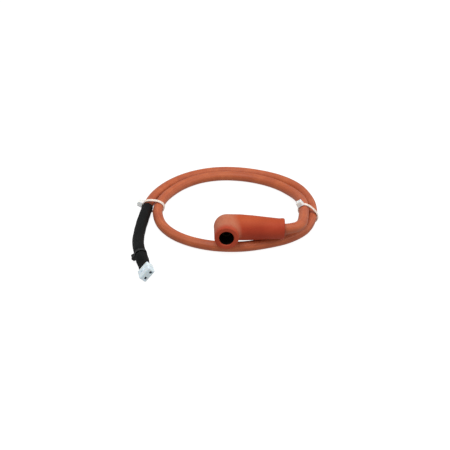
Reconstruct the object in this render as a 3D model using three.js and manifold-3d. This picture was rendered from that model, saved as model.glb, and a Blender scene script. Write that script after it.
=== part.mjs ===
// A silicone high-voltage ignition lead, lying on the plane z = 0. Its cable makes about one and a half
// turns, held by two nylon ties. One end carries a right-angle boot that pushes on to an electrode, and the
// other a sleeved two-pole connector. Millimetres, +Z up, origin under the middle of the outline.
import * as THREE from "three";
import { mergeVertices } from "three/addons/utils/BufferGeometryUtils.js";
import Module from "manifold-3d";

const wasm = await Module();
wasm.setup();

// ---- driving dimensions ----
const CLEARANCE = 0.3; // between pieces that touch
const CABLE_RADIUS = 3.5;
const CABLE_BORE_RADIUS = 1.25;
const CORE_RADIUS = 0.85;
const CABLE_SIDES = 12;
const CABLE_STEPS = 80;

const SLEEVE_RADIUS = 4.1;
const SLEEVE_WALL = 0.25;
const SLEEVE_STEPS = 48;
const SLEEVE_DRAWN_IN = 0.83; // how much narrower the sleeve is where its tie holds it
const SLEEVE_FLARE = [1.12, 0.8]; // its width at the connector, along the row of poles and across it

const ELBOW = new THREE.Vector3(0, -33.1, 15.7); // where the boot's two axes cross
const BARREL_FALL = 0.0409; // slope of the barrel's axis, from the elbow down to its cable end
const ELBOW_RADIUS = 8.5;
const BARREL_LENGTH = 38.7;
const BARREL_END_RADIUS = 7.15;
const MOUTH_LENGTH = 16.2; // elbow to the mouth's face
const MOUTH_RADIUS = 8;
const MOUTH_BORE_RADIUS = 4.85; // takes the electrode's ceramic
const SOCKET_RADIUS = 3.2;
const STUD_RADIUS = 2.05; // the electrode's 4 mm stud, with a sliding fit

const TIE_WIDTH = 2.5;
const TIE_THICKNESS = 0.75;
const TIE_SLACK = 0.9; // how far the top of a strap stands off between the two strands that it holds

const HOUSING = { length: 10.8, width: 9.8, height: 5.4, pitch: 5 };
const POLE_Z = -0.8; // the two poles lie below the housing's middle plane
const HOUSING_REAR = new THREE.Vector3(-52.9, -67.3, 5.4);
const HOUSING_ROLL = THREE.MathUtils.degToRad(48);
const WIRE_RADIUS = 0.85;
const WIRE_CORE_RADIUS = 0.4;

// The cable's centreline, from the boot's terminal to the splice: through the barrel, round the tight bend,
// one turn on the inside of the loop, across the front, and half a turn on the outside.
const ROUTE = [
  [13, -33.1, 15.17], [25, -33.1, 14.68], [36.6, -33.1, 14.2], [40.7, -32.8, 14.05], [44.3, -31.5, 13.9],
  [47.4, -29.2, 13.5], [49.7, -26, 13.1], [51.3, -21.8, 12.6], [52.5, -15, 11.8], [53.7, -4.4, 10.6],
  [54.4, 6.4, 9.5], [54.1, 16, 8.2], [52, 27.8, 6.3], [47.3, 40, 4.4], [38.6, 52.2, 3.5],
  [26.2, 61.1, 3.5], [11.6, 66.6, 3.5], [-4, 67.8, 3.5], [-18.8, 63.5, 3.5], [-31.6, 53.7, 3.5],
  [-41.1, 40.2, 3.6], [-47, 23.7, 4.6], [-48.5, 7.3, 4.4], [-44.6, -8.7, 3.5], [-35.6, -22.5, 3.5],
  [-22.6, -32.3, 3.5], [-6.8, -37.8, 3.5], [10, -38.4, 3.5], [26.2, -34.3, 3.5], [41.4, -27.4, 3.5],
  [53.2, -16.7, 4], [59.1, -2.7, 4.7], [60.8, 12.7, 4.5], [59.3, 30, 3.6], [52.6, 48.1, 3.5],
  [40.6, 61.5, 3.5], [25, 70.3, 3.5], [7.6, 75.1, 3.5], [-10.4, 74.5, 3.5], [-27.2, 67.3, 3.5],
  [-40.9, 54.8, 3.5], [-50.6, 37.9, 4], [-55.6, 19.7, 4.75], [-57.6, 3.7, 4.3], [-59.2, -14.3, 4.2],
  [-59.6, -31.3, 4.3], [-58.8, -39.8, 4.9], [-57.6, -46.8, 5.4],
].map((p) => new THREE.Vector3(...p));
const SLEEVE_START = new THREE.Vector3(-56.15, 15.6, 4.65); // just past the left tie
const SLEEVE_FIRST_ROUTE_POINT = 43;

// ---- materials ----
const plain = (color, roughness, metalness = 0) =>
  new THREE.MeshStandardMaterial({ color, roughness, metalness });

const silicone = plain(0xb95f3f, 0.55);
const bootSilicone = plain(0xb3512f, 0.5);
const nylon = plain(0xf2ece6, 0.4);
const housingNylon = plain(0xcfdee4, 0.4);
const blackSleeving = plain(0x2b302f, 0.6);
const blackNylon = plain(0x1c1f1e, 0.45);
const wireInsulation = plain(0x2a2c2e, 0.5);
const tinnedCopper = plain(0xc9c5bd, 0.35, 1);
const brass = plain(0xb79a5b, 0.35, 1);
const steel = plain(0xb8bcc0, 0.3, 1);

// ---- shape helpers ----
const polygon = (radius, sides) => {
  const shape = new THREE.Shape();
  for (let i = 0; i < sides; i++) {
    const angle = (i / sides) * 2 * Math.PI;
    const place = [radius * Math.cos(angle), radius * Math.sin(angle)];
    if (i) shape.lineTo(...place);
    else shape.moveTo(...place);
  }
  shape.closePath();
  return shape;
};

// A round section swept along a smooth curve through the points, as a tube if it has a bore.
const swept = (points, radius, { sides, steps, bore = 0 }) => {
  const section = polygon(radius, sides);
  if (bore) section.holes.push(polygon(bore, sides));
  const extrudePath = new THREE.CatmullRomCurve3(points, false, "centripetal");
  return new THREE.ExtrudeGeometry(section, { steps, extrudePath });
};

// A profile of [distance along X, radius] turned about the X axis.
const turned = (profile, segments = 28) => {
  const points = profile.map(([along, radius]) => new THREE.Vector2(radius, along));
  return new THREE.LatheGeometry(points, segments).rotateZ(-Math.PI / 2);
};

const rod = (from, to, radius, segments = 20) =>
  turned([[from, 0], [from, radius], [to, radius], [to, 0]], segments);

const pipe = (from, to, radius, bore, segments = 20) =>
  turned([[from, bore], [from, radius], [to, radius], [to, bore], [from, bore]], segments);

const block = (size, centre) => new THREE.BoxGeometry(...size).translate(...centre);

const solidOf = (geometry) => {
  const bare = geometry.clone();
  bare.deleteAttribute("normal");
  bare.deleteAttribute("uv");
  const merged = mergeVertices(bare, 1e-4);
  return new wasm.Manifold(
    new wasm.Mesh({
      numProp: 3,
      vertProperties: merged.attributes.position.array,
      triVerts: new Uint32Array(merged.index.array),
    }),
  );
};

const geometryOf = (solid) => {
  const mesh = solid.getMesh();
  return new THREE.BufferGeometry()
    .setAttribute("position", new THREE.BufferAttribute(mesh.vertProperties, 3))
    .setIndex(new THREE.BufferAttribute(mesh.triVerts, 1));
};

const joined = (geometries) => geometries.map(solidOf).reduce((a, b) => a.add(b));
const carved = (solid, geometries) => geometries.map(solidOf).reduce((a, b) => a.subtract(b), solid);

const piece = (name, geometry, material) => {
  geometry.computeVertexNormals();
  const mesh = new THREE.Mesh(geometry, material);
  mesh.name = name;
  return mesh;
};

// ---- boot: X runs from the elbow towards the cable, and -Y out of the mouth ----
const makeElbowBoot = () => {
  const rim = BARREL_END_RADIUS + 0.3;
  const barrel = turned([
    [0, 0], [0, ELBOW_RADIUS], [9, ELBOW_RADIUS - 0.1], [27, 7.65], [36.2, BARREL_END_RADIUS],
    [37, rim], [BARREL_LENGTH - 0.4, rim], [BARREL_LENGTH, rim - 0.4], [BARREL_LENGTH, 0],
  ], 32);
  const mouth = turned([
    [0, 0], [0, ELBOW_RADIUS], [9, MOUTH_RADIUS], [MOUTH_LENGTH - 0.6, MOUTH_RADIUS],
    [MOUTH_LENGTH, MOUTH_RADIUS - 0.6], [MOUTH_LENGTH, 0],
  ], 32).rotateZ(-Math.PI / 2);
  const corner = new THREE.SphereGeometry(ELBOW_RADIUS, 32, 20);
  const electrodeBore = rod(4, MOUTH_LENGTH + 1, MOUTH_BORE_RADIUS, 32).rotateZ(-Math.PI / 2);
  const socketSeat = rod(-4.2, 6, SOCKET_RADIUS + CLEARANCE, 24).rotateZ(-Math.PI / 2);
  const terminalPassage = rod(0, 12, SOCKET_RADIUS + CLEARANCE, 24);
  const cableEntry = turned([
    [11.5, 0], [11.5, CABLE_RADIUS + 0.35], [34, CABLE_RADIUS + 0.35], [BARREL_LENGTH - 1.5, 4.4],
    [BARREL_LENGTH + 1, 4.6], [BARREL_LENGTH + 1, 0],
  ], 24);
  const skin = joined([barrel, mouth, corner]);
  return geometryOf(carved(skin, [electrodeBore, socketSeat, terminalPassage, cableEntry]));
};

// The right-angle terminal: a stud socket facing the mouth and a shank towards the cable.
const SOCKET_TIP = 8;
const makeTerminalBody = () => {
  const socket = turned([
    [-3.4, 0], [-3.4, SOCKET_RADIUS], [4.2, SOCKET_RADIUS], [4.4, 2.6], [5.6, 2.6], [5.8, SOCKET_RADIUS],
    [SOCKET_TIP - 0.4, SOCKET_RADIUS], [SOCKET_TIP, SOCKET_RADIUS - 0.4], [SOCKET_TIP, 0],
  ], 24).rotateZ(-Math.PI / 2);
  const shank = rod(0, 11, 2.6, 24);
  const studHole = rod(-1, SOCKET_TIP + 1, STUD_RADIUS, 20).rotateZ(-Math.PI / 2);
  const screwHole = rod(6, 12, 1.25);
  return geometryOf(carved(joined([socket, shank]), [studHole, screwHole]));
};

// An open ring of spring wire in the socket's groove, which grips the stud through the socket's wall.
const makeSocketSpring = () => {
  const opening = Math.PI / 5;
  const arc = new THREE.ArcCurve(0, 0, 2.95, opening, 2 * Math.PI - opening);
  const points = arc.getPoints(24).map((p) => new THREE.Vector3(p.x, -5, p.y));
  return swept(points, 0.24, { sides: 8, steps: 28 });
};

// A wood-screw point that the end of the cable is turned on to.
const makeCableScrew = () => {
  const profile = [[6.5, 0], [6.5, 0.9]];
  for (let along = 11.5; along < 19; along += 1.1) {
    profile.push([along, 0.62], [along + 0.55, 0.92]);
  }
  profile.push([21, 0]);
  return turned(profile, 16);
};

const boot = new THREE.Group();
boot.position.copy(ELBOW);
boot.rotation.y = Math.atan(BARREL_FALL);
boot.add(
  piece("elbow_boot", makeElbowBoot(), bootSilicone),
  piece("terminal_body", makeTerminalBody(), brass),
  piece("socket_spring", makeSocketSpring(), steel),
  piece("cable_screw", makeCableScrew(), steel),
);

// ---- connector frame: X along the mating direction, Y along the row of poles ----
const lastRoutePoint = ROUTE[ROUTE.length - 1];
const mating = HOUSING_REAR.clone().sub(lastRoutePoint).setZ(0).normalize();
const level = new THREE.Vector3(-mating.y, mating.x, 0);
const row = level.multiplyScalar(Math.cos(HOUSING_ROLL)).setZ(Math.sin(HOUSING_ROLL));
const thickness = mating.clone().cross(row);
const connector = new THREE.Group();
connector.position.copy(HOUSING_REAR);
connector.setRotationFromMatrix(new THREE.Matrix4().makeBasis(mating, row, thickness));
const cableEndX = -lastRoutePoint.distanceTo(HOUSING_REAR);

const makeHousing = () => {
  const { length, width, height, pitch } = HOUSING;
  const edge = 0.5;
  const outline = new THREE.Shape([
    [-width / 2 + edge, -height / 2], [width / 2 - edge, -height / 2],
    [width / 2, -height / 2 + edge], [width / 2, height / 2 - edge],
    [width / 2 - edge, height / 2], [-width / 2 + edge, height / 2],
    [-width / 2, height / 2 - edge], [-width / 2, -height / 2 + edge],
  ].map(([y, z]) => new THREE.Vector2(y, z)));
  const shell = new THREE.ExtrudeGeometry(outline, { depth: length, bevelEnabled: false })
    .applyMatrix4(new THREE.Matrix4().makeBasis(
      new THREE.Vector3(0, 1, 0), new THREE.Vector3(0, 0, 1), new THREE.Vector3(1, 0, 0),
    ));
  const latchRamp = new THREE.ExtrudeGeometry(
    new THREE.Shape([[2, 2], [7.6, 2], [7.6, height / 2 + 0.5], [6.4, height / 2 + 1], [2, height / 2 + 0.3]]
      .map(([x, z]) => new THREE.Vector2(x, z))),
    { depth: 1.8, bevelEnabled: false },
  ).rotateX(Math.PI / 2).translate(0, 0.9, 0);
  const keyway = block([3, 1, 1], [length, -width / 2, 0.2]);
  const cuts = [keyway];
  for (const side of [-1, 1]) {
    const y = (side * pitch) / 2;
    cuts.push(block([length, 3.1, 2.7], [length / 2 - 1.2, y, POLE_Z]));
    cuts.push(block([4, 1.9, 1.9], [length, y, POLE_Z]));
  }
  return geometryOf(carved(joined([shell, latchRamp]), cuts));
};

// A receptacle contact: a square box for the pin, and a crimp barrel on the wire.
const makeContact = (side) => {
  const box = block([4.6, 2.5, 2.1], [5.8, 0, 0]);
  const crimp = rod(0.9, 4, 1.05);
  const pinWay = block([6, 1.6, 1.6], [7.5, 0, 0]);
  const wireWay = rod(0, 3.2, CORE_RADIUS - 0.1);
  const contact = carved(joined([box, crimp]), [pinWay, wireWay]);
  return geometryOf(contact.translate([0, (side * HOUSING.pitch) / 2, POLE_Z]));
};

const FERRULE = { from: cableEndX + 1.2, to: cableEndX + 6.4, radius: 2.1, bore: 1.75 };
const wirePath = (side, from, to) => {
  const tight = side * 0.95;
  const wide = (side * HOUSING.pitch) / 2;
  return [[from, tight, 0], [FERRULE.to + 2, tight, 0], [-1.5, wide, POLE_Z], [to, wide, POLE_Z]]
    .map((p) => new THREE.Vector3(...p));
};

const makeWire = (side) =>
  swept(wirePath(side, FERRULE.to + 0.3, 0.5), WIRE_RADIUS, { sides: 8, steps: 12, bore: 0.6 });

const makeWireCore = (side) =>
  swept(wirePath(side, FERRULE.from + 3.4, 2.8), WIRE_CORE_RADIUS, { sides: 8, steps: 16 });

connector.add(
  piece("connector_housing", makeHousing(), housingNylon),
  piece("splice_ferrule", pipe(FERRULE.from, FERRULE.to, FERRULE.radius, FERRULE.bore), tinnedCopper),
);
for (const [letter, side] of [["a", 1], ["b", -1]]) {
  connector.add(
    piece(`contact_${letter}`, makeContact(side), tinnedCopper),
    piece(`wire_${letter}_insulation`, makeWire(side), wireInsulation),
    piece(`wire_${letter}_core`, makeWireCore(side), tinnedCopper),
  );
}

// ---- cable and sleeve ----
const coreEnd = lastRoutePoint.clone().addScaledVector(mating, FERRULE.from - cableEndX + 2.9);
const axisPoint = (along) => ELBOW.clone().add(new THREE.Vector3(along, 0, -along * BARREL_FALL));
const corePoints = [axisPoint(21.6), ...ROUTE.slice(1), coreEnd];
const jacket = swept(ROUTE, CABLE_RADIUS, {
  sides: CABLE_SIDES, steps: CABLE_STEPS, bore: CABLE_BORE_RADIUS,
});
const core = swept(corePoints, CORE_RADIUS, { sides: 8, steps: CABLE_STEPS });

// The sleeve keeps the cable's line. Past the cable's end it is drawn in at its tie, and from there it
// spreads to cover the back of the housing.
const SLEEVE_TIE_X = cableEndX + 5.2;
const makeSleeve = () => {
  const end = HOUSING_REAR.clone().addScaledVector(mating, -CLEARANCE);
  const points = [SLEEVE_START, ...ROUTE.slice(SLEEVE_FIRST_ROUTE_POINT), end];
  const tube = swept(points, SLEEVE_RADIUS, {
    sides: CABLE_SIDES, steps: SLEEVE_STEPS, bore: SLEEVE_RADIUS - SLEEVE_WALL,
  });
  connector.updateMatrix();
  tube.applyMatrix4(connector.matrix.clone().invert());
  const { smoothstep, lerp } = THREE.MathUtils;
  const position = tube.attributes.position;
  for (let i = 0; i < position.count; i++) {
    const x = position.getX(i);
    const drawn = lerp(1, SLEEVE_DRAWN_IN, smoothstep(x, cableEndX + 1, SLEEVE_TIE_X - 2));
    const spread = smoothstep(x, SLEEVE_TIE_X + 2, -2);
    position.setY(i, position.getY(i) * lerp(drawn, SLEEVE_FLARE[0], spread));
    position.setZ(i, position.getZ(i) * lerp(drawn, SLEEVE_FLARE[1], spread));
  }
  return tube;
};
connector.add(piece("black_sleeve", makeSleeve(), blackSleeving));

// ---- cable ties: the strap lies in the X-Y plane of its mesh, and its width runs along Z ----
// Below, a loop follows the two strands closely. Above, it arches over both as a squared ellipse.
const loopOutline = (Path, halfSpan, radius, slack) => {
  const segments = 28;
  const squareness = 2 / 2.3;
  const points = [];
  for (let i = 0; i < segments; i++) {
    const angle = (i / segments) * Math.PI;
    points.push([
      Math.sign(Math.cos(angle)) * Math.abs(Math.cos(angle)) ** squareness * (halfSpan + radius),
      Math.sin(angle) ** squareness * (radius + slack),
    ]);
  }
  for (let i = 0; i < segments; i++) {
    const angle = (1 + i / segments) * Math.PI;
    const side = Math.sign(i - segments / 2 + 0.5);
    points.push([side * halfSpan + radius * Math.cos(angle), radius * Math.sin(angle)]);
  }
  return new Path(points.map((p) => new THREE.Vector2(...p)));
};

// A strap round strands that are halfSpan either side of its middle, with its head beside the one at -X.
const makeTie = ({ halfSpan, bore, slack = 0, headAngle, head: { across, tall, wide } }) => {
  const strap = loopOutline(THREE.Shape, halfSpan, bore + TIE_THICKNESS, slack);
  strap.holes.push(loopOutline(THREE.Path, halfSpan, bore, slack));
  const band = new THREE.ExtrudeGeometry(strap, { depth: TIE_WIDTH, bevelEnabled: false })
    .translate(0, 0, -TIE_WIDTH / 2);
  const inner = bore + 0.1;
  const beside = (size, centre) => block(size, centre).rotateZ(headAngle).translate(-halfSpan, 0, 0);
  const head = beside([tall, across, wide], [inner + tall / 2, 0, 0]);
  const tail = beside([1.2, 0.9, TIE_WIDTH - 0.4], [inner + tall, across / 5, 0]);
  const slot = beside([1.2, 1.1, TIE_WIDTH - 0.6], [inner + tall, -across / 5, 0]);
  return geometryOf(carved(joined([band, head, tail]), [slot]));
};

// Stands a tie across the cable, with the strands it holds at first and second.
const standTie = (mesh, first, second, along) => {
  const facing = along.clone().normalize();
  const side = second.clone().sub(first).projectOnPlane(facing).normalize();
  mesh.position.lerpVectors(first, second, 0.5);
  mesh.setRotationFromMatrix(new THREE.Matrix4().makeBasis(side, facing.clone().cross(side), facing));
  return mesh;
};

const centreline = new THREE.CatmullRomCurve3(ROUTE, false, "centripetal").getSpacedPoints(1200);
const strandNear = (x, y, z) => {
  const place = new THREE.Vector3(x, y, z);
  return centreline.reduce((a, b) => (b.distanceTo(place) < a.distanceTo(place) ? b : a));
};

const makeStrandTie = (name, first, second, along, headAngle) => {
  const settings = {
    halfSpan: first.distanceTo(second) / 2,
    bore: CABLE_RADIUS + CLEARANCE,
    slack: TIE_SLACK,
    headAngle,
    head: { across: 4.6, tall: 3.7, wide: 4.6 },
  };
  return standTie(piece(name, makeTie(settings), nylon), first, second, along);
};

const leftTie = makeStrandTie(
  "left_cable_tie", strandNear(-56, 18, 4.7), strandNear(-48, 16, 4.6),
  new THREE.Vector3(-0.15, -1, 0), 0.9 * Math.PI,
);
const rightTie = makeStrandTie(
  "right_cable_tie", strandNear(54.3, 1, 10), strandNear(60, 2, 4.7),
  new THREE.Vector3(-0.09, -1, 0.05), 0.93 * Math.PI,
);

const sleeveTieSettings = {
  halfSpan: 0.01,
  bore: SLEEVE_RADIUS * SLEEVE_DRAWN_IN + CLEARANCE,
  headAngle: 1.11 * Math.PI,
  head: { across: 3.8, tall: 2.6, wide: 4.2 },
};
const sleeveTie = piece("sleeve_cable_tie", makeTie(sleeveTieSettings), blackNylon);
const tieCentre = HOUSING_REAR.clone().addScaledVector(mating, SLEEVE_TIE_X);
const levelSide = new THREE.Vector3(-mating.y, mating.x, 0);
standTie(sleeveTie, tieCentre.clone().sub(levelSide), tieCentre.clone().add(levelSide), mating);

const lead = new THREE.Group();
lead.add(
  boot,
  connector,
  piece("cable_jacket", jacket, silicone),
  piece("conductor_core", core, tinnedCopper),
  leftTie,
  rightTie,
  sleeveTie,
);

export default lead;
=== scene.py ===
"""The looks of the ignition lead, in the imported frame, which is in metres with +Z up. The sizes here are in
millimetres, and MM turns them into metres."""

import math

import bpy
import numpy as np
from mathutils import Matrix, Vector


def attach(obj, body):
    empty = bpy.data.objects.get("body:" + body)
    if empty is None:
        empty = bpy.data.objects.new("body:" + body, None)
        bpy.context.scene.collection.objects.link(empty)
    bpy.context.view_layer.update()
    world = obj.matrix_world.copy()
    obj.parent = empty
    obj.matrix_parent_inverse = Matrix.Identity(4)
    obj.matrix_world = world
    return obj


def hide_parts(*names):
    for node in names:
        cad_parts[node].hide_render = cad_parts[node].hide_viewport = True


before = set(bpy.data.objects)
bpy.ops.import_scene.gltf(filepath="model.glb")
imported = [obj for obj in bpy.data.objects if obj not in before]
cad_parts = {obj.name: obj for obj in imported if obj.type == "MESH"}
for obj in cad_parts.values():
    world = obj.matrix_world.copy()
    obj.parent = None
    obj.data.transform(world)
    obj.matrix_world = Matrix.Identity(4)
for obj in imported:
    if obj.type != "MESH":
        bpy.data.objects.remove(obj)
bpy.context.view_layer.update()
MM = 0.001

# ---- the cable's route and the other sizes, in millimetres ----
ROUTE = [
    (13, -33.1, 15.17), (25, -33.1, 14.68), (36.6, -33.1, 14.2), (40.7, -32.8, 14.05), (44.3, -31.5, 13.9),
    (47.4, -29.2, 13.5), (49.7, -26, 13.1), (51.3, -21.8, 12.6), (52.5, -15, 11.8), (53.7, -4.4, 10.6),
    (54.4, 6.4, 9.5), (54.1, 16, 8.2), (52, 27.8, 6.3), (47.3, 40, 4.4), (38.6, 52.2, 3.5),
    (26.2, 61.1, 3.5), (11.6, 66.6, 3.5), (-4, 67.8, 3.5), (-18.8, 63.5, 3.5), (-31.6, 53.7, 3.5),
    (-41.1, 40.2, 3.6), (-47, 23.7, 4.6), (-48.5, 7.3, 4.4), (-44.6, -8.7, 3.5), (-35.6, -22.5, 3.5),
    (-22.6, -32.3, 3.5), (-6.8, -37.8, 3.5), (10, -38.4, 3.5), (26.2, -34.3, 3.5), (41.4, -27.4, 3.5),
    (53.2, -16.7, 4), (59.1, -2.7, 4.7), (60.8, 12.7, 4.5), (59.3, 30, 3.6), (52.6, 48.1, 3.5),
    (40.6, 61.5, 3.5), (25, 70.3, 3.5), (7.6, 75.1, 3.5), (-10.4, 74.5, 3.5), (-27.2, 67.3, 3.5),
    (-40.9, 54.8, 3.5), (-50.6, 37.9, 4), (-55.6, 19.7, 4.75), (-57.6, 3.7, 4.3), (-59.2, -14.3, 4.2),
    (-59.6, -31.3, 4.3), (-58.8, -39.8, 4.9), (-57.6, -46.8, 5.4),
]
CABLE_RADIUS = 3.5
CABLE_BORE_RADIUS = 1.25
SLEEVE_RADIUS = 3.95
SLEEVE_WALL = 0.3
SLEEVE_START = (-56.15, 15.6, 4.65)
SLEEVE_FIRST_ROUTE_POINT = 43
SLEEVE_STEP = 0.6  # between the points of its line
SLEEVE_LAP = 1.9  # how far it goes over the housing's neck
SLEEVE_END = (3.75, 2.65)  # half its width there, along the row of poles and across it
SLEEVE_DRAWN_IN = 0.62  # by its tie
SLEEVE_BULGE = 0.85  # past the tie, over the two wires

ELBOW = (0, -33.1, 15.7)
BARREL_FALL = 0.0409
ELBOW_RADIUS = 8.5
BARREL_LENGTH = 38.7
BARREL_PLACES = [0, 9, 17, 27, 35.2, 37, 45]  # along the barrel, from the elbow
BARREL_RADII = [8.55, 8.7, 8.35, 7.55, 6.95, 7.15, 7.15]
CABLE_ENTRY_RADIUS = 3.85
MOUTH_LENGTH = 16.2
MOUTH_FACE_Y = ELBOW[1] - MOUTH_LENGTH
MOUTH_PLACES = [0, 9, MOUTH_LENGTH]  # along the mouth, from the elbow
MOUTH_RADII = [ELBOW_RADIUS, 8.2, 8]
MOUTH_BORE_RADIUS = 4.85
MOUTH_LIP = 0.7
TERMINAL_RADIUS = 3.5  # of the hollows that the terminal fills

HOUSING_REAR = (-52.9, -67.3, 5.4)
HOUSING_ROLL = math.radians(48)
HOUSING_LENGTH, HOUSING_WIDTH, HOUSING_HEIGHT = 10.8, 9.8, 5.4
POLE_PITCH = 5
POLE_Z = -0.8
NECK = 2.1  # the part of the housing's length that the sleeve covers
NECK_WIDTH, NECK_HEIGHT = 6.2, 3.8
FACE_OPENING = 0.85  # half the width of the square openings in the face
GROOVE_DEPTH = 0.25
LATCH_CENTRE, LATCH_SIZE = (5.2, 0, 2.6), (4.8, 1.8, 2)
LATCH_RISE, LATCH_FALL = 0.14, 0.42  # the slopes of its top
KEYWAY_SIZE = (3, 1, 1)
CAVITY_X, CAVITY_SIZE = 4.2, (10.8, 3.1, 2.7)  # the hollow round each contact

STRAND_TIE = {"bore": 3.65, "slack": 0.9, "head": (3.7, 4.6, 4.6)}
STRAP_THICKNESS = 0.75
STRAP_WIDTH = 2.5

FINE_CELL, BOOT_CELL = 0.2, 0.36  # of the grids that solids are meshed on

# ---- camera: it looks down at 29 degrees, with no roll ----
CAMERA_ELEVATION = math.radians(29)
CAMERA_TARGET = Vector((-1.0, -2.3, 0)) * MM
CAMERA_DISTANCE = 756 * MM
camera = bpy.data.objects.new("camera", bpy.data.cameras.new("camera"))
bpy.context.scene.collection.objects.link(camera)
camera.data.sensor_width = 36
camera.data.lens = 86.4
camera.data.clip_start = 0.01
camera.location = CAMERA_TARGET + CAMERA_DISTANCE * Vector(
    (0, -math.cos(CAMERA_ELEVATION), math.sin(CAMERA_ELEVATION))
)
camera.rotation_euler = (math.pi / 2 - CAMERA_ELEVATION, 0, 0)
bpy.context.scene.camera = camera


# ---- lines and meshes ----
def unit(v):
    v = np.asarray(v, float)
    return v / np.linalg.norm(v)


def smooth_line(points, spacing):
    """A centripetal Catmull-Rom curve through the points, as points an equal distance apart."""
    p = np.array(points, float)
    p = np.vstack([2 * p[0] - p[1], p, 2 * p[-1] - p[-2]])
    t = np.linspace(0, 1, 32, endpoint=False)[:, None]
    dense = []
    for a, b, c, d in zip(p, p[1:], p[2:], p[3:]):
        k0, k1, k2 = (np.linalg.norm(v) ** 0.5 for v in (b - a, c - b, d - c))
        m1 = ((b - a) / k0 - (c - a) / (k0 + k1) + (c - b) / k1) * k1
        m2 = ((c - b) / k1 - (d - b) / (k1 + k2) + (d - c) / k2) * k1
        dense.append(b + m1 * t + (3 * (c - b) - 2 * m1 - m2) * t**2 + (2 * (b - c) + m1 + m2) * t**3)
    dense = np.vstack([*dense, p[-2:-1]])
    along = np.concatenate([[0], np.cumsum(np.linalg.norm(np.diff(dense, axis=0), axis=1))])
    even = np.linspace(0, along[-1], round(along[-1] / spacing) + 1)
    return np.stack([np.interp(even, along, dense[:, i]) for i in range(3)], 1)


def frames_along(line):
    """Tangent, side and up at each point, with no twist from one to the next."""
    tangent = np.gradient(line, axis=0)
    tangent /= np.linalg.norm(tangent, axis=1, keepdims=True)
    side = [unit(np.cross(tangent[0], (0, 0, 1)))]
    for t in tangent[1:]:
        side.append(unit(side[-1] - t * np.dot(side[-1], t)))
    side = np.array(side)
    return tangent, side, np.cross(side, tangent)


def mesh_object(name, vertices, faces, normals=None):
    mesh = bpy.data.meshes.new(name)
    mesh.from_pydata(np.asarray(vertices) * MM, [], np.asarray(faces).tolist())
    mesh.shade_smooth()
    if normals is not None:
        mesh.normals_split_custom_set_from_vertices(normals)
    obj = bpy.data.objects.new(name, mesh)
    bpy.context.scene.collection.objects.link(obj)
    return obj


def at(radius, where):
    """A radius that is a number, or a function of the place along a line or of the angle round it."""
    return radius(where) if callable(radius) else radius


def tube(name, line, rings, sides):
    """A closed tube wall: rings is a list of (place along the line as an index, radius at each angle). Its
    straight attribute says where each point would be if the line were straight, for looks that follow it."""
    tangent, side, up = frames_along(line)
    spacing = np.linalg.norm(line[1] - line[0])
    angle = np.arange(sides) / sides * 2 * math.pi
    cosine, sine = np.cos(angle)[:, None], np.sin(angle)[:, None]
    vertices, straight = [], []
    for place, radius in rings:
        i = min(int(place), len(line) - 2)
        t = place - i
        centre = line[i] * (1 - t) + line[i + 1] * t
        s, u = side[i] * (1 - t) + side[i + 1] * t, up[i] * (1 - t) + up[i + 1] * t
        r = np.broadcast_to(at(radius, angle), angle.shape)[:, None]
        vertices.append(centre + r * (cosine * s + sine * u))
        straight.append(np.hstack([r * cosine, r * sine, np.full_like(r, place * spacing)]))
    count = len(rings)
    faces = []
    for i in range(count):
        a, b = i * sides, (i + 1) % count * sides
        faces += [(b + j, b + (j + 1) % sides, a + (j + 1) % sides, a + j) for j in range(sides)]
    obj = mesh_object(name, np.vstack(vertices), faces)
    attribute = obj.data.attributes.new("straight", "FLOAT_VECTOR", "POINT")
    attribute.data.foreach_set("vector", (np.vstack(straight) * MM).ravel().astype(np.float32))
    return obj


def between(a, b, share):
    """A radius that is share of the way from b to a."""
    return lambda angle: share * at(a, angle) + (1 - share) * at(b, angle)


def wall_rings(count, outer, inner, lip=0.3):
    """Rings for the whole wall of a hollow tube with rounded lips, out along it and back inside."""
    last = count - 1
    places = [lip * 0.3, lip, *range(1, last), last - lip, last - lip * 0.3]
    rings = [(p, at(outer, p)) for p in places]
    rings[0] = (0, between(at(outer, 0), at(inner, 0), 0.8))
    rings[-1] = (last, between(at(outer, last), at(inner, last), 0.8))
    return rings + [(p, at(inner, p)) for p in [last, last - lip, *range(last - 2, 0, -2), lip, 0]]


# ---- solids from distance functions, in millimetres: negative inside, and rounded where they join ----
def join(a, b, k=0.3):
    h = np.clip(k - np.abs(a - b), 0, None) / k
    return np.minimum(a, b) - h**3 * k / 6


def cut(a, b, k=0.3):
    return -join(-a, b, k)


def rounded(outside, rounding):
    """Distance from a solid with rounded edges, from how far outside each of its faces a point is."""
    q = outside + rounding
    return np.linalg.norm(np.clip(q, 0, None), axis=-1) + np.clip(q.max(-1), None, 0) - rounding


def box_distance(p, centre, size, rounding=0.3):
    return rounded(np.abs(p - np.array(centre)) - np.array(size) / 2, rounding)


def rod_distance(along, radial, start, end, radius, rounding=0.2):
    past_end = np.abs(along - (start + end) / 2) - (end - start) / 2
    return rounded(np.stack([radial - radius, past_end], -1), rounding)


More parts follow.
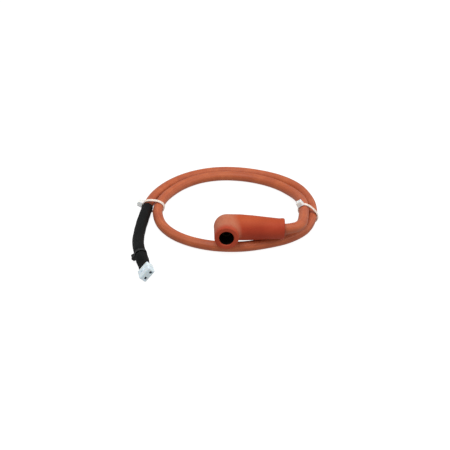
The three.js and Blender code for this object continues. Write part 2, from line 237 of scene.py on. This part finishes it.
def shaped(name, distance, low, high, cell):
    """A smooth mesh of the surface where distance is zero, looked for from low to high: one vertex in each
    grid cell that it crosses, moved on to it, and a quad across each grid edge that it crosses."""
    low = np.array(low, float)
    axes = [np.arange(a, b + cell, cell) for a, b in zip(low, high)]
    value = distance(np.stack(np.meshgrid(*axes, indexing="ij"), -1))
    inside = value < 0
    size = np.array(value.shape) - 1
    steps = np.array([(x, y, z) for x in (0, 1) for y in (0, 1) for z in (0, 1)])
    corners_inside = 0
    for x, y, z in steps:
        corners_inside = corners_inside + inside[x : x + size[0], y : y + size[1], z : z + size[2]]
    mixed = (corners_inside > 0) & (corners_inside < 8)
    cells = np.argwhere(mixed)
    index = np.full(mixed.shape, -1)
    index[mixed] = np.arange(len(cells))
    total, found = np.zeros((len(cells), 3)), np.zeros(len(cells))
    for axis in range(3):
        e = np.eye(3, dtype=int)[axis]
        for s in steps[steps[:, axis] == 0]:
            a, b = value[tuple((cells + s).T)], value[tuple((cells + s + e).T)]
            crosses = (a < 0) != (b < 0)
            t = np.where(crosses, a / np.where(crosses, a - b, 1), 0)
            total += np.where(crosses[:, None], s + t[:, None] * e, 0)
            found += crosses
    points = low + (cells + total / found[:, None]) * cell

    def slope(p):
        return np.stack([distance(p + d) - distance(p - d) for d in np.eye(3) * 0.01], -1) / 0.02

    for _ in range(5):
        gradient = slope(points)
        move = gradient * (distance(points) / np.clip((gradient**2).sum(-1), 0.1, None))[:, None]
        points -= np.clip(move, -cell / 2, cell / 2)
    faces = []
    for axis in range(3):
        u, v = np.eye(3, dtype=int)[[(axis + 1) % 3, (axis + 2) % 3]]
        first = np.take(inside, range(size[axis]), axis)
        second = np.take(inside, range(1, size[axis] + 1), axis)
        edge = np.argwhere(first != second)
        edge = edge[(edge[:, (axis + 1) % 3] > 0) & (edge[:, (axis + 2) % 3] > 0)]
        edge = edge[(edge < size).all(1)]
        quad = np.stack([index[tuple((edge - d).T)] for d in (0 * u, u, u + v, v)], 1)
        faces.append(np.where(first[tuple(edge.T)][:, None], quad, quad[:, ::-1]))
    gradient = slope(points)
    normals = gradient / np.linalg.norm(gradient, axis=1, keepdims=True)
    return mesh_object(name, points, np.vstack(faces), normals)


def put_at(obj, origin, x, y, z):
    """Moves a piece whose mesh is in its own frame to origin, with its axes along x, y and z."""
    matrix = np.eye(4)
    matrix[:3, 0], matrix[:3, 1], matrix[:3, 2], matrix[:3, 3] = x, y, z, np.array(origin) * MM
    obj.data.transform(Matrix(matrix.tolist()))
    return obj


# ---- materials ----
def colour(r, g, b):
    """A linear colour from the 0 to 255 values that a screen shows."""
    return (*(((c / 255 + 0.055) / 1.055) ** 2.4 if c > 10 else c / 255 / 12.92 for c in (r, g, b)), 1)


class Surface:
    """A material with helpers that add its nodes."""

    def __init__(self, name, **sockets):
        self.material = bpy.data.materials.new(name)
        self.material.use_nodes = True
        self.tree = self.material.node_tree
        self.shader = self.tree.nodes["Principled BSDF"]
        for socket, value in sockets.items():
            self.shader.inputs[socket.replace("_", " ")].default_value = value

    def add(self, kind, settings=None, **inputs):
        node = self.tree.nodes.new(kind)
        for key, value in (settings or {}).items():
            setattr(node, key, value)
        for key, value in inputs.items():
            self.feed(node.inputs[int(key[1:]) if key[1:].isdigit() else key.replace("_", " ")], value)
        return node

    def feed(self, socket, value):
        if isinstance(value, bpy.types.NodeSocket):
            self.tree.links.new(value, socket)
        else:
            socket.default_value = value

    def position(self):
        return self.add("ShaderNodeTexCoord").outputs["Object"]

    def straight(self):
        return self.add("ShaderNodeAttribute", {"attribute_name": "straight"}).outputs["Vector"]

    def stretched(self, vector, x, y, z):
        return self.add("ShaderNodeMapping", Vector=vector, Scale=(x, y, z)).outputs["Vector"]

    def noise(self, vector, scale, detail=3, roughness=0.5):
        node = self.add("ShaderNodeTexNoise", Vector=vector, Scale=scale, Detail=detail, Roughness=roughness)
        return node.outputs["Fac"]

    def math(self, operation, a, b=0.0):
        return self.add("ShaderNodeMath", {"operation": operation}, _0=a, _1=b).outputs[0]

    def ranged(self, value, low, high, to_low, to_high):
        node = self.add(
            "ShaderNodeMapRange", Value=value, From_Min=low, From_Max=high, To_Min=to_low, To_Max=to_high
        )
        return node.outputs["Result"]

    def ramp(self, value, *stops):
        node = self.add("ShaderNodeValToRGB", Fac=value)
        elements = node.color_ramp.elements
        while len(elements) < len(stops):
            elements.new(0.5)
        for element, (place, shade) in zip(elements, stops):
            element.position, element.color = place, shade
        return node.outputs["Color"]

    def mix(self, share, a, b):
        node = self.add("ShaderNodeMix", {"data_type": "RGBA"})
        self.feed(node.inputs[0], share)
        self.feed(node.inputs[6], a)
        self.feed(node.inputs[7], b)
        return node.outputs[2]

    def finish(self, shade, roughness, *heights):
        """Sets the colour and roughness, and a bump for each (height, distance in millimetres, strength)."""
        self.feed(self.shader.inputs["Base Color"], shade)
        self.feed(self.shader.inputs["Roughness"], roughness)
        normal = None
        for height, distance, strength in heights:
            bump = self.add("ShaderNodeBump", Height=height, Distance=distance * MM, Strength=strength)
            if normal is not None:
                self.feed(bump.inputs["Normal"], normal)
            normal = bump.outputs["Normal"]
        if normal is not None:
            self.feed(self.shader.inputs["Normal"], normal)
        return self.material


def cable_silicone():
    s = Surface("cable_silicone", Sheen_Weight=0.04, Sheen_Roughness=0.45, Specular_IOR_Level=0.42)
    place, line = s.position(), s.straight()
    blotches = s.noise(place, 95, 4, 0.6)
    base = s.ramp(
        blotches,
        (0.3, colour(167, 75, 38)), (0.5, colour(179, 86, 44)), (0.72, colour(193, 102, 58)),
    )
    drawn = s.noise(s.stretched(line, 900, 900, 14), 1, 3, 0.6)
    base = s.mix(s.ranged(drawn, 0.4, 0.7, 0, 0.5), base, colour(144, 68, 43))
    pale = s.noise(s.stretched(line, 700, 700, 9), 1.3, 3, 0.6)
    base = s.mix(s.ranged(pale, 0.5, 0.75, 0, 0.4), base, colour(204, 116, 78))
    dust = s.noise(place, 1400, 2, 0.7)
    base = s.mix(s.ranged(dust, 0.62, 0.8, 0, 0.25), base, colour(214, 132, 102))
    grain = s.noise(place, 5200, 2, 0.6)
    roughness = s.ranged(blotches, 0.3, 0.7, 0.5, 0.64)
    return s.finish(base, roughness, (drawn, 0.12, 0.35), (grain, 0.05, 0.25))


def boot_silicone():
    s = Surface("boot_silicone", Specular_IOR_Level=0.14)
    place = s.position()
    blotches = s.noise(place, 70, 4, 0.55)
    base = s.ramp(
        blotches,
        (0.3, colour(156, 53, 31)), (0.52, colour(166, 60, 36)), (0.74, colour(176, 71, 44)),
    )
    dust = s.noise(place, 1100, 3, 0.7)
    base = s.mix(s.ranged(dust, 0.6, 0.82, 0, 0.22), base, colour(214, 128, 96))
    parts = s.add("ShaderNodeSeparateXYZ", Vector=place)
    depth = s.math("SUBTRACT", parts.outputs[1], MOUTH_FACE_Y * MM)
    # painted light: the top is painted a lighter orange, as if lit from above, but not near the mouth
    painted_top_light = s.ranged(parts.outputs[2], (ELBOW[2] + 2.8) * MM, (ELBOW[2] + 7.2) * MM, 0, 0.4)
    painted_top_light = s.math("MULTIPLY", painted_top_light, s.ranged(depth, 5.3 * MM, 9.3 * MM, 0, 1))
    base = s.mix(painted_top_light, base, colour(184, 92, 44))
    from_mouth_axis = s.add(
        "ShaderNodeVectorMath", {"operation": "LENGTH"},
        _0=s.add(
            "ShaderNodeCombineXYZ", X=s.math("SUBTRACT", parts.outputs[0], ELBOW[0] * MM),
            Z=s.math("SUBTRACT", parts.outputs[2], ELBOW[2] * MM),
        ).outputs[0],
    ).outputs["Value"]
    # pale dust and a painted sheen: the elbow is painted paler round the mouth's axis, and less so towards
    # the mouth
    cloud = s.noise(place, 210, 4, 0.65)
    drift = s.math("ADD", s.math("MULTIPLY", cloud, 3 * MM), s.math("MULTIPLY", parts.outputs[0], 0.16))
    pale_dust_and_painted_sheen = s.ranged(s.math("ADD", from_mouth_axis, drift), 10.5 * MM, 14 * MM, 1, 0)
    pale_dust_and_painted_sheen = s.math("MULTIPLY", pale_dust_and_painted_sheen, s.ranged(depth, 1.5 * MM, 6.3 * MM, 0.05, 1))
    pale_dust_and_painted_sheen = s.math("MULTIPLY", pale_dust_and_painted_sheen, s.ranged(cloud, 0.3, 0.6, 0.5, 0.85))
    base = s.mix(pale_dust_and_painted_sheen, base, colour(180, 114, 87))
    # painted shade: the mouth's bore is painted near-black inside, where shade falls
    painted_bore_shade = s.ranged(from_mouth_axis, 4.9 * MM, 5.1 * MM, 1, 0)
    painted_bore_shade = s.math("MULTIPLY", painted_bore_shade, s.ranged(depth, 0.5 * MM, 0.9 * MM, 0, 1))
    painted_bore_shade = s.math("MULTIPLY", painted_bore_shade, s.ranged(depth, 20.8 * MM, 21.8 * MM, 1, 0))
    base = s.mix(painted_bore_shade, base, colour(16, 7, 6))
    grain = s.noise(place, 4200, 2, 0.6)
    roughness = s.ranged(s.noise(place, 160, 3), 0.3, 0.7, 0.5, 0.62)
    return s.finish(base, roughness, (grain, 0.04, 0.25), (blotches, 0.3, 0.2))


def natural_nylon(name, light, shadow, painted_cable_light=None):
    """Milky nylon. Where a mesh has a strap attribute, its last colour is painted on it as the warm light
    that the cable behind sends through and onto the strap.
    """
    s = Surface(
        name, Subsurface_Weight=0.35, Subsurface_Radius=(1.2 * MM, 1.0 * MM, 0.8 * MM), Subsurface_Scale=1.0,
        Specular_IOR_Level=0.5,
    )
    place = s.position()
    cloud = s.noise(place, 260, 3, 0.5)
    base = s.mix(s.ranged(cloud, 0.3, 0.7, 0, 1), light, shadow)
    # painted light: the warm light of the cable behind, painted onto the strap
    if painted_cable_light:
        strap = s.add("ShaderNodeAttribute", {"attribute_name": "strap"}).outputs["Fac"]
        base = s.mix(s.math("MULTIPLY", strap, 0.85), base, painted_cable_light)
    grain = s.noise(place, 2600, 2, 0.5)
    return s.finish(base, s.ranged(cloud, 0.3, 0.7, 0.34, 0.46), (grain, 0.03, 0.2))


def black_sleeving():
    s = Surface("black_sleeving", Specular_IOR_Level=0.12)
    place, line = s.position(), s.straight()
    parts = s.add("ShaderNodeSeparateXYZ", Vector=line)
    angle = s.math("ARCTAN2", parts.outputs[1], parts.outputs[0])
    braid_pitch, carriers = 1.7 * MM, 14.0
    along = s.math("MULTIPLY", parts.outputs[2], 2 * math.pi / braid_pitch)
    round_it = s.math("MULTIPLY", angle, carriers)
    left = s.math("SINE", s.math("ADD", round_it, along))
    right = s.math("SINE", s.math("SUBTRACT", round_it, along))
    braid = s.math("MAXIMUM", left, right)
    fibres = s.noise(s.stretched(line, 2600, 2600, 260), 1, 2, 0.6)
    worn = s.noise(place, 140, 3, 0.6)
    base = s.mix(s.ranged(braid, -0.2, 1, 0, 1), colour(5, 6, 6), colour(13, 15, 15))
    base = s.mix(s.ranged(worn, 0.4, 0.75, 0, 0.3), base, colour(22, 25, 25))
    return s.finish(
        base, s.ranged(fibres, 0.3, 0.7, 0.55, 0.75), (braid, 0.1, 0.4), (fibres, 0.05, 0.4)
    )


def black_nylon():
    s = Surface("black_nylon", Specular_IOR_Level=0.35)
    place = s.position()
    cloud = s.noise(place, 500, 3)
    base = s.mix(s.ranged(cloud, 0.3, 0.7, 0, 1), colour(11, 12, 12), colour(24, 26, 26))
    return s.finish(base, s.ranged(cloud, 0.3, 0.7, 0.35, 0.5), (s.noise(place, 3000, 2), 0.03, 0.3))


def streaked(name, dark, light, roughness, metallic=1.0):
    """A metal, or a plastic where metallic is 0, with fine streaks along X."""
    s = Surface(name, Metallic=metallic)
    place = s.position()
    drawn = s.noise(s.stretched(place, 500, 4000, 4000), 1, 3, 0.6)
    stain = s.noise(place, 320, 3, 0.6)
    base = s.mix(s.ranged(stain, 0.3, 0.7, 0, 1), dark, light)
    return s.finish(base, s.ranged(drawn, 0.3, 0.7, roughness, roughness + 0.2), (drawn, 0.02, 0.25))


CABLE = cable_silicone()
BOOT = boot_silicone()
# the tie's last colour is painted warm light from the cable behind its straps
TIE = natural_nylon("natural_nylon", colour(234, 235, 232), colour(222, 224, 222), colour(238, 219, 204))
HOUSING = natural_nylon("housing_nylon", colour(220, 232, 237), colour(207, 222, 229))
SLEEVE = black_sleeving()
BLACK = black_nylon()
WIRE = streaked("wire_pvc", colour(22, 23, 24), colour(34, 35, 36), 0.45, metallic=0.0)
COPPER = streaked("tinned_copper", colour(176, 168, 156), colour(206, 200, 190), 0.3)
# the terminal brass is painted dark: painted shade for its place deep in the mouth
BRASS_IN_PAINTED_SHADE = streaked("terminal_brass", colour(40, 32, 20), colour(58, 47, 30), 0.5)
STEEL = streaked("zinc_plated_steel", colour(168, 172, 176), colour(200, 203, 206), 0.28)


def fit(obj, material, slot, body, *nodes):
    """Gives a piece its material and body, and hides the CAD nodes that it stands for. Its slot argument is
    not used.
    """
    obj.data.materials.append(material)
    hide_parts(*nodes)
    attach(obj, body)


# ---- cable ----
cable_line = smooth_line(ROUTE, 1.5)
cable_line[:, 2] = np.maximum(cable_line[:, 2], CABLE_RADIUS)  # it lies on the surface, not in it
cable_rings = wall_rings(len(cable_line), CABLE_RADIUS, CABLE_BORE_RADIUS)
cable = tube("cable", cable_line, cable_rings, 32)
fit(cable, CABLE, "cable_silicone", "lead", "cable_jacket")


def strand_near(x, y, z):
    return cable_line[np.argmin(np.linalg.norm(cable_line - (x, y, z), axis=1))]


# ---- connector frame: it starts at the back of the housing, and X is towards the mating face ----
mating = unit(np.subtract(HOUSING_REAR, ROUTE[-1]) * (1, 1, 0))
level = np.array((-mating[1], mating[0], 0))
poles = level * math.cos(HOUSING_ROLL) + np.array((0, 0, math.sin(HOUSING_ROLL)))
thickness = np.cross(mating, poles)
cable_end_x = -np.linalg.norm(np.subtract(HOUSING_REAR, ROUTE[-1]))
sleeve_tie_x = cable_end_x + 5.2

# ---- sleeve: it follows the cable, is drawn in by its tie, and spreads over the neck of the housing ----
sleeve_end = np.array(HOUSING_REAR) + SLEEVE_LAP * mating
sleeve_line = smooth_line([SLEEVE_START, *ROUTE[SLEEVE_FIRST_ROUTE_POINT:], sleeve_end], SLEEVE_STEP)
_, last_side, last_up = (v[-1] for v in frames_along(sleeve_line))
roll = math.atan2(np.dot(poles, last_up), np.dot(poles, last_side))


def ease(value, start, end):
    t = min(max((value - start) / (end - start), 0), 1)
    return t * t * (3 - 2 * t)


def sleeve_radius(offset):
    """The sleeve's radius as a function of the place along its line, which x gives in the connector frame."""

    def radius_at(place):
        x = SLEEVE_LAP - (len(sleeve_line) - 1 - place) * SLEEVE_STEP
        from_tie = x - sleeve_tie_x
        held = ease(from_tie, -3.6, -1.2)
        bulge = ease(from_tie, 1, 4) * SLEEVE_BULGE
        spread = ease(x, sleeve_tie_x + 5, -2)
        narrow = SLEEVE_RADIUS - SLEEVE_DRAWN_IN * held - 0.1 * (1 - ease(place, 2, 20))
        a, b = ((narrow + bulge) * (1 - spread) + half * spread for half in SLEEVE_END)
        power = 2 + 2 * spread
        pucker = 0.16 * math.exp(-((from_tie / 3.4) ** 2)) * (1 - math.exp(-((from_tie / 1.3) ** 2)))
        slack = 0.06 * math.sin(place * 0.31) + 0.05 * math.sin(place * 0.117 + 1)

        def radius(angle):
            u = np.abs(np.cos(angle - roll)) / (a + offset)
            v = np.abs(np.sin(angle - roll)) / (b + offset)
            waves = pucker * np.cos(9 * angle + 0.6) + slack * np.cos(2 * angle + place * 0.05)
            return (u**power + v**power) ** (-1 / power) + waves * (1 - 0.5 * held)

        return radius

    return radius_at


sleeve_rings = wall_rings(len(sleeve_line), sleeve_radius(0), sleeve_radius(-SLEEVE_WALL))
sleeve = tube("sleeve", sleeve_line, sleeve_rings, 48)
fit(sleeve, SLEEVE, "black_sleeving", "lead", "black_sleeve")


# ---- cable ties ----
def loop_distance(x, y, half_span, radius, slack):
    """Distance from a loop that follows two strands below, and arches over both as a squared ellipse."""
    below = np.hypot(np.clip(np.abs(x) - half_span, 0, None), y) - radius
    wide, high, n = half_span + radius, radius + slack, 2.3
    u, v = np.clip(np.abs(x) / wide, 1e-6, None), np.clip(y / high, 1e-6, None)
    rho = (u**n + v**n) ** (1 / n)
    slope = rho ** (1 - n) * np.hypot(u ** (n - 1) / wide, v ** (n - 1) / high)
    return np.where(y > 0, (rho - 1) / slope, below)


def tie(name, first, second, along, bore, slack, head_angle, head):
    """A strap round the strands at first and second, with its head beside the first. In the tie's own frame
    the strap lies in the X-Y plane and its width runs along Z, and u and v are the head's own axes."""
    along = unit(along)
    across = np.subtract(second, first)
    side = unit(across - along * np.dot(across, along))
    half_span = np.linalg.norm(across) / 2
    tall, wide, deep = head
    inner = bore + 0.1
    outer = inner + tall
    middle = inner + tall / 2
    cosine, sine = math.cos(head_angle), math.sin(head_angle)

    def head_axes(x, y):
        return (x + half_span) * cosine + y * sine, y * cosine - (x + half_span) * sine

    def distance(p):
        x, y, z = p[..., 0], p[..., 1], p[..., 2]
        out = loop_distance(x, y, half_span, bore, slack)
        half = STRAP_THICKNESS / 2
        strap = rounded(np.stack([np.abs(out - half) - half, np.abs(z) - STRAP_WIDTH / 2], -1), 0.2)
        groove = np.maximum(STRAP_THICKNESS - 0.14 - out, np.abs(z) - STRAP_WIDTH * 0.26)
        strap = cut(strap, groove, 0.08)
        u, v = head_axes(x, y)
        local = np.stack([u, v * (1 + 0.05 * (u - inner)), z * (1 + 0.04 * (u - inner))], -1)
        body = box_distance(local, (middle, 0, 0), (tall, wide, deep), 0.55)
        tail = box_distance(local, (outer, wide / 5, 0), (1.2, 0.9, STRAP_WIDTH - 0.4), 0.15)
        window = box_distance(local, (outer, -wide / 5, 0), (1.4, 1.1, STRAP_WIDTH - 0.6), 0.15)
        flute = box_distance(local, (middle, -wide / 2, 0), (tall * 0.5, 0.5, deep * 0.5), 0.15)
        body = cut(cut(body, window, 0.15), flute, 0.15)
        return join(join(strap, body, 0.35), tail, 0.2)

    reach = half_span + bore + tall + 1.8
    low = (-reach, -bore - 2, -deep / 2 - 0.4)
    high = (half_span + bore + 1.3, bore + slack + 2, deep / 2 + 0.4)
    obj = shaped(name, distance, low, high, FINE_CELL)
    points = np.array([v.co for v in obj.data.vertices]) / MM
    u, v = head_axes(points[:, 0], points[:, 1])
    strap_share = np.clip(np.maximum(inner - u, np.abs(v) - wide / 2) / 1.2 + 0.2, 0, 1)
    strap = obj.data.attributes.new("strap", "FLOAT", "POINT")
    strap.data.foreach_set("value", strap_share.astype(np.float32))
    return put_at(obj, np.add(first, second) / 2, side, np.cross(along, side), along)


left_tie = tie(
    "left_tie", strand_near(-56, 18, 4.7), strand_near(-48, 16, 4.6), (-0.15, -1, 0),
    head_angle=0.9 * math.pi, **STRAND_TIE,
)
fit(left_tie, TIE, "natural_nylon", "lead", "left_cable_tie")
right_tie = tie(
    "right_tie", strand_near(54.3, 1, 10), strand_near(60, 2, 4.7), (-0.09, -1, 0.05),
    head_angle=0.93 * math.pi, **STRAND_TIE,
)
fit(right_tie, TIE, "natural_nylon", "lead", "right_cable_tie")
tie_centre = np.array(HOUSING_REAR) + mating * sleeve_tie_x
sleeve_tie = tie(
    "sleeve_tie", tie_centre - 0.01 * level, tie_centre + 0.01 * level, mating,
    bore=3.5, slack=0, head_angle=1.11 * math.pi, head=(2.6, 3.8, 4.2),
)
fit(sleeve_tie, BLACK, "black_nylon", "lead", "sleeve_cable_tie")


# ---- connector housing: X towards its mating face, Y along the row of poles ----
def groove_distance(p):
    """A shallow groove all round the shell."""
    wide, high = HOUSING_WIDTH, HOUSING_HEIGHT
    band = box_distance(p, (HOUSING_LENGTH - 4, 0, 0), (0.7, wide + 1, high + 1), 0.1)
    core_size = (20, wide - 2 * GROOVE_DEPTH, high - 2 * GROOVE_DEPTH)
    return cut(band, box_distance(p, (HOUSING_LENGTH / 2, 0, 0), core_size, 0.3), 0.1)


def latch_distance(p):
    """A low block on the shell, whose top rises towards the mating face and then falls more steeply."""
    x, z = p[..., 0], p[..., 2]
    rising = 2.8 + (x - 2.8) * LATCH_RISE
    falling = 3.35 + (6.6 - x) * LATCH_FALL
    block = box_distance(p, LATCH_CENTRE, LATCH_SIZE, 0.25)
    return cut(cut(block, (rising - z) * 0.98, 0.2), (falling - z) * 0.92, 0.2)


def housing_distance(p):
    x, y, z = p[..., 0], p[..., 1], p[..., 2]
    length = HOUSING_LENGTH - NECK
    shell = box_distance(p, (NECK + length / 2, 0, 0), (length, HOUSING_WIDTH, HOUSING_HEIGHT), 0.85)
    neck = box_distance(p, (NECK, 0, 0), (2 * NECK, NECK_WIDTH, NECK_HEIGHT), 0.8)
    shell = cut(join(shell, neck, 0.2), groove_distance(p), 0.2)
    shell = join(shell, latch_distance(p), 0.4)
    keyway = box_distance(p, (HOUSING_LENGTH, -HOUSING_WIDTH / 2, 0.2), KEYWAY_SIZE, 0.15)
    shell = cut(shell, keyway, 0.15)
    for y_pole in (-POLE_PITCH / 2, POLE_PITCH / 2):
        cavity = box_distance(p, (CAVITY_X, y_pole, POLE_Z), CAVITY_SIZE, 0.2)
        funnel = np.clip(x - HOUSING_LENGTH + 0.6, 0, 0.6) * 0.3
        opening = np.maximum(np.abs(y - y_pole), np.abs(z - POLE_Z)) - FACE_OPENING - funnel
        shell = cut(cut(shell, cavity, 0.15), np.maximum(opening, 8 - x), 0.15)
    return shell


housing = shaped("housing", housing_distance, (-0.6, -5.5, -3.3), (11.4, 5.5, 4.3), FINE_CELL)
put_at(housing, HOUSING_REAR, mating, poles, thickness)
fit(housing, HOUSING, "housing_nylon", "lead", "connector_housing")


# ---- boot: X from the elbow towards the cable, and -Y out of the mouth ----
def turned_distance(along, radial, length, places, radii, rounding):
    """A solid of revolution that starts at the elbow's middle, with these radii at these places."""
    slab = rod_distance(along, radial, -1, length, 20, 0.1)
    return cut(slab, np.interp(along, places, radii) - radial, rounding)


def boot_distance(p):
    x, y, z = p[..., 0], p[..., 1], p[..., 2]
    from_barrel, from_mouth = np.hypot(y, z), np.hypot(x, z)
    barrel = turned_distance(x, from_barrel, BARREL_LENGTH, BARREL_PLACES, BARREL_RADII, 1.6)
    mouth = turned_distance(-y, from_mouth, MOUTH_LENGTH, MOUTH_PLACES, MOUTH_RADII, 1.0)
    corner = np.linalg.norm(p, axis=-1) - ELBOW_RADIUS
    fillet = 0.2 + 5.5 * np.sqrt(np.clip(1 - (z / ELBOW_RADIUS) ** 2, 0, 1))
    skin = join(join(barrel, mouth, fillet), corner, 0.2)
    lip = np.clip(MOUTH_LIP - (y + MOUTH_LENGTH), 0, MOUTH_LIP) * 0.7
    entry_flare = np.clip(x - 34, 0, 4) * 0.2
    hollows = [
        rod_distance(-y, from_mouth - lip, 4, MOUTH_LENGTH + 2, MOUTH_BORE_RADIUS),
        rod_distance(-y, from_mouth, -4.2, 6, TERMINAL_RADIUS),
        rod_distance(x, from_barrel, 0, 12, TERMINAL_RADIUS),
        rod_distance(x, from_barrel - entry_flare, 11.5, BARREL_LENGTH + 2, CABLE_ENTRY_RADIUS),
    ]
    for hollow in hollows:
        skin = cut(skin, hollow, 0.3)
    return skin


boot = shaped("boot", boot_distance, (-9, -16.8, -9), (39.4, 9, 9), BOOT_CELL)
tilt = math.atan(BARREL_FALL)
put_at(boot, ELBOW, (math.cos(tilt), 0, -math.sin(tilt)), (0, 1, 0), (math.sin(tilt), 0, math.cos(tilt)))
fit(boot, BOOT, "boot_silicone", "boot", "elbow_boot")

# ---- the CAD's own pieces that stay ----
for material, names in (
    (BRASS_IN_PAINTED_SHADE, ["terminal_body"]),
    (STEEL, ["socket_spring", "cable_screw"]),
    (COPPER, ["conductor_core", "splice_ferrule", "wire_a_core", "wire_b_core", "contact_a", "contact_b"]),
    (WIRE, ["wire_a_insulation", "wire_b_insulation"]),
):
    for name in names:
        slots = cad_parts[name].data.materials
        slots.clear()
        slots.append(material)


# ---- floor and light ----
def lamp(name, energy, location, size):
    """A square area lamp that shines on the origin."""
    data = bpy.data.lights.new(name, "AREA")
    data.energy, data.size = energy, size
    obj = bpy.data.objects.new(name, data)
    bpy.context.scene.collection.objects.link(obj)
    obj.location = location
    obj.rotation_euler = (-Vector(location)).to_track_quat("-Z", "Y").to_euler()


def pale_paper():
    s = Surface("paper", Specular_IOR_Level=0.1, Emission_Color=(1, 1, 1, 1), Emission_Strength=0.91)
    cloud = s.noise(s.position(), 3)
    return s.finish(s.ramp(cloud, (0.3, colour(118, 118, 118)), (0.7, colour(124, 124, 124))), 0.9)


floor_mesh = bpy.data.meshes.new("floor")
floor_mesh.from_pydata([(-4, -4, 0), (4, -4, 0), (4, 4, 0), (-4, 4, 0)], [], [(0, 1, 2, 3)])
floor_mesh.materials.append(pale_paper())
floor = bpy.data.objects.new("floor", floor_mesh)
bpy.context.scene.collection.objects.link(floor)
floor.visible_diffuse = False
floor.visible_glossy = False

world = bpy.data.worlds.new("studio")
bpy.context.scene.world = world
world.use_nodes = True
world.node_tree.nodes["Background"].inputs["Color"].default_value = (1, 1, 1, 1)
world.node_tree.nodes["Background"].inputs["Strength"].default_value = 0.55
lamp("key", 4.0, (-0.1, -0.2, 0.8), 0.45)
lamp("fill", 2.4, (0.7, -0.1, 0.6), 0.6)
bpy.context.scene.view_settings.view_transform = "Standard"
